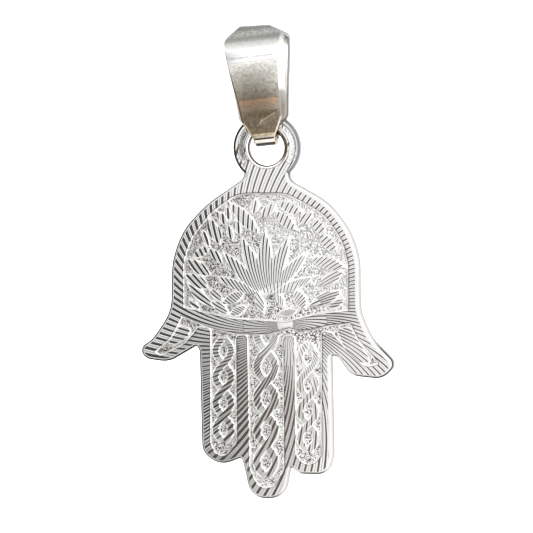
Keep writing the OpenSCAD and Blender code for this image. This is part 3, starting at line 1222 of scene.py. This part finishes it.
# The edges that face left are painted in shade, darker than the right ones
left_edge_bands = [
    # height, red, green, blue, mottle
    (-1.5, 0.40, 0.32, 0.22, 0.3),
    (2.5, 0.40, 0.32, 0.22, 0.3),
    (2.7, 0.07, 0.05, 0.035, 0.3),
    (6.5, 0.12, 0.095, 0.07, 0.3),
    (7.6, 0.35, 0.31, 0.28, 0.3),
    (8.6, 0.75, 0.68, 0.63, 0.2),
    (10.2, 0.85, 0.82, 0.78, 0.0),
    (10.6, 0.35, 0.35, 0.34, 0.3),
    (12.2, 0.25, 0.25, 0.24, 0.5),
]
print(len(strap_bands), "bands on the front of the strap")

# %% Strap silver
dull_spots = (0.22, 0.20, 0.165)
blotch_grain = 0.3


def banded_silver(name, bands, roughness, mottle):
    """Fills a finish with bands of colour along the strap and a mottle."""
    nodes, links, shader, place = bare_metal(name)
    along = nodes.new("ShaderNodeVectorMath")
    along.operation = "DOT_PRODUCT"
    links.new(place, along.inputs[0])
    along.inputs[1].default_value = up_strap
    low, high = bands[0][0], bands[-1][0]
    height = nodes.new("ShaderNodeMapRange")
    links.new(along.outputs["Value"], height.inputs["Value"])
    height.inputs["From Min"].default_value = up_strap.dot(eye) + low * per_mm
    height.inputs["From Max"].default_value = up_strap.dot(eye) + high * per_mm
    colours = nodes.new("ShaderNodeValToRGB")
    links.new(height.outputs["Result"], colours.inputs["Fac"])
    stops = colours.color_ramp.elements
    while len(stops) < len(bands):
        stops.new(0.5)
    for stop, (z, *colour_and_share) in zip(stops, bands):
        stop.position = (z - low) / (high - low)
        stop.color = colour_and_share
    blotches = noise_of(nodes, links, place, blotch_grain, detail=5)
    mottled = nodes.new("ShaderNodeMath")
    mottled.operation = "MULTIPLY"
    links.new(spread(nodes, links, blotches, 0.38, 0.66, 0, mottle), mottled.inputs[0])
    links.new(colours.outputs["Alpha"], mottled.inputs[1])
    colour = colour_mix(nodes, links, mottled.outputs["Value"], colours.outputs["Color"], dull_spots)
    links.new(colour, shader.inputs["Base Color"])
    wear(nodes, links, shader, blotches, roughness * 0.8, roughness * 1.3, 0.25)


banded_silver("strap", strap_bands, 0.17, 0.7)
banded_silver("strap flank", flank_bands, 0.25, 0.4)
banded_silver("strap inside", inside_bands, 0.25, 0.4)
banded_silver("right edge", right_edge_bands, 0.3, 0.4)
banded_silver("left edge", left_edge_bands, 0.3, 0.4)
banded_silver("rear edge", rear_edge_bands, 0.3, 0.4)
banded_silver("fold", fold_bands, 0.45, 0.6)
silver("knock", (0.55, 0.46, 0.34), (0.55, 0.46, 0.34), 0.5)

# %% [markdown]
# ## Studio
#
# A pale paper cove is floor and backdrop. It doesn't show in the silver: what does is the world, a bright
# tent with a softer front, a grey flag to the left of the camera and a dark, warm table top low in front.

# %% Cove
floor_z, cove_depth, cove_radius, cove_height = -0.12, 0.9, 0.3, 1.5
half_cove = 1.4

cove_bm = bmesh.new()
cove_front = [cove_bm.verts.new((side * half_cove, -half_cove, floor_z)) for side in (-1, 1)]
rail = [cove_bm.edges.new(cove_front)]
path = [(cove_depth - cove_radius, floor_z)]
for degrees in range(10, 91, 10):
    turned = math.radians(degrees)
    path.append((
        cove_depth - cove_radius + cove_radius * math.sin(turned),
        floor_z + cove_radius * (1 - math.cos(turned)),
    ))
path.append((cove_depth, cove_height))
for y, z in path:
    moved = bmesh.ops.extrude_edge_only(cove_bm, edges=rail)["geom"]
    rail = [item for item in moved if isinstance(item, bmesh.types.BMEdge)]
    for item in moved:
        if isinstance(item, bmesh.types.BMVert):
            item.co.y, item.co.z = y, z
cove = solid("cove", cove_bm, "pale paper")
cove.visible_glossy = False
paper = finish("pale paper").node_tree.nodes["Principled BSDF"]
paper.inputs["Base Color"].default_value = (0.9, 0.9, 0.9, 1)
paper.inputs["Roughness"].default_value = 1
paper.inputs["Emission Color"].default_value = (1, 1, 1, 1)
paper.inputs["Emission Strength"].default_value = 0.5

# %% World
tent = (2.0, 2.0, 2.0)
panels = [
    # azimuth and elevation in degrees, radius of the even part and of the whole, colour
    (-10, 5, 25, 55, (1.15, 1.15, 1.15)),
    (-50, 0, 12, 38, (0.35, 0.36, 0.36)),
    (-10, -50, 19, 31, (0.25, 0.21, 0.155)),
    (0, -90, 15, 35, (0.06, 0.055, 0.05)),
    (180, 65, 30, 60, (0.85, 0.85, 0.85)),
]

world = bpy.data.worlds.new("studio")
bpy.context.scene.world = world
world.use_nodes = True
nodes, links = world.node_tree.nodes, world.node_tree.links
direction = nodes.new("ShaderNodeTexCoord").outputs["Generated"]
seen = tent
for azimuth, elevation, even, whole, colour in panels:
    turned, raised = math.radians(azimuth), math.radians(elevation)
    towards = nodes.new("ShaderNodeVectorMath")
    towards.operation = "DOT_PRODUCT"
    towards.inputs[1].default_value = (
        math.sin(turned) * math.cos(raised),
        -math.cos(turned) * math.cos(raised),
        math.sin(raised),
    )
    links.new(direction, towards.inputs[0])
    border, core = math.cos(math.radians(whole)), math.cos(math.radians(even))
    inside = spread(nodes, links, towards.outputs["Value"], border, core)
    seen = colour_mix(nodes, links, inside, seen, colour)
links.new(seen, nodes["Background"].inputs["Color"])
bpy.context.scene.view_settings.view_transform = "Standard"
